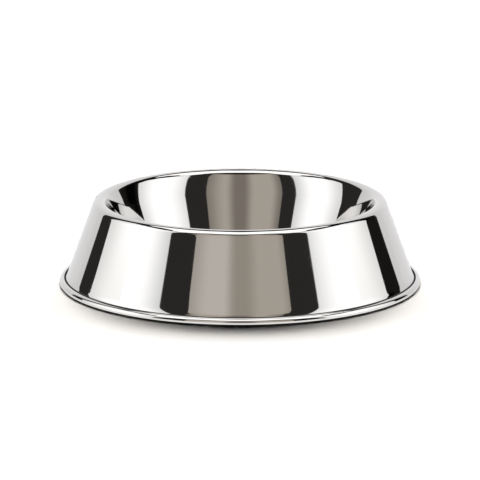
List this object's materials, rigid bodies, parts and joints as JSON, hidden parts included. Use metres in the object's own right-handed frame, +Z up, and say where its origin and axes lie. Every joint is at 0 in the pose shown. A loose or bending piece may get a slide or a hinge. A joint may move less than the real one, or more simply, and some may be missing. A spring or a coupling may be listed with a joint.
{
  "type": "non-tip pet bowl",
  "caption": "Low round steel pet bowl with a wide flared skirt that keeps it from tipping, a rounded rim, a rolled hem and a removable rubber ring underneath.",
  "frame": {"origin": "on the floor, below the middle of the bowl", "axes": "+Z up along the axis of the bowl, X and Y across it"},
  "size_m": [0.26, 0.26, 0.062],
  "materials": {
    "polished_steel": "mirror-polished stainless steel",
    "black_rubber": "matt black rubber"
  },
  "bodies": {
    "ring": {"antislip_ring": "black_rubber"},
    "bowl": {"food_bowl": "polished_steel", "outer_skirt": "polished_steel"}
  },
  "joints": [
    {"name": "ring_pull_off", "type": "slide", "parent": "ring", "child": "bowl", "axis": [0, 0, 1], "range_m": [0, 0.04]}
  ]
}
